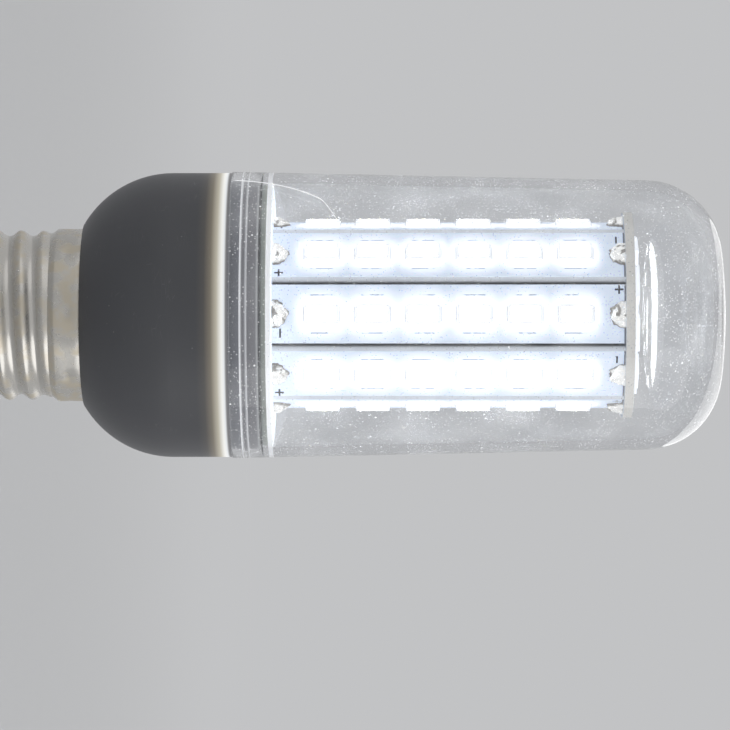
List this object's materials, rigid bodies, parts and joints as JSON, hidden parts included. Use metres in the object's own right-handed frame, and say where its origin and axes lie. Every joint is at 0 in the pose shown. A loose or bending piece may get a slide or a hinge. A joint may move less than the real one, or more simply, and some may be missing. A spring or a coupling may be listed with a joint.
{
  "type": "corn led bulb",
  "caption": "Corn LED bulb with a clear rounded cover over a column of LED strips, a plain grey base and an E27 screw cap.",
  "frame": {"origin": "middle of the centre contact's lower face", "axes": "+Z along the bulb's axis from the cap to the crown of the cover; one strip faces -Y"},
  "size_m": [0.0444, 0.0444, 0.1246],
  "materials": {
    "clear_plastic": "clear moulded",
    "base_plastic": "semi-gloss moulded",
    "nickel_plate": "nickel plated sheet",
    "black_insulator": "glossy black",
    "white_board": "white masked face, bare metal edges",
    "led_body": "white moulded",
    "phosphor": "lit",
    "solder": "tin solder",
    "green_board": "masked fibre board",
    "red_case": "dipped",
    "black_sleeve": "sleeved",
    "resistor_body": "lacquered",
    "white_wire": "insulated",
    "red_wire": "insulated",
    "black_wire": "insulated"
  },
  "bodies": {
    "root": {"clear_cover": "clear_plastic", "base_housing": "base_plastic", "screw_shell": "nickel_plate", "centre_contact": "nickel_plate", "cap_insulator": "black_insulator", "lower_board": "white_board", "end_board": "white_board", "end_leds": "led_body", "end_phosphor": "phosphor", "lower_solder_joints": "solder", "upper_solder_joints": "solder", "driver_board": "green_board", "film_capacitor": "red_case", "filter_capacitor": "black_sleeve", "bridge_rectifier": "black_sleeve", "discharge_resistor": "black_sleeve", "inrush_resistor": "resistor_body", "live_wire": "white_wire", "neutral_wire": "white_wire", "positive_lead": "red_wire", "negative_lead": "black_wire", "led_strip_1": "white_board", "strip_leds_1": "led_body", "strip_phosphor_1": "phosphor", "led_strip_2": "white_board", "strip_leds_2": "led_body", "strip_phosphor_2": "phosphor", "led_strip_3": "white_board", "strip_leds_3": "led_body", "strip_phosphor_3": "phosphor", "led_strip_4": "white_board", "strip_leds_4": "led_body", "strip_phosphor_4": "phosphor", "led_strip_5": "white_board", "strip_leds_5": "led_body", "strip_phosphor_5": "phosphor", "led_strip_6": "white_board", "strip_leds_6": "led_body", "strip_phosphor_6": "phosphor", "led_strip_7": "white_board", "strip_leds_7": "led_body", "strip_phosphor_7": "phosphor", "led_strip_8": "white_board", "strip_leds_8": "led_body", "strip_phosphor_8": "phosphor", "led_strip_9": "white_board", "strip_leds_9": "led_body", "strip_phosphor_9": "phosphor"}
  },
  "joints": []
}
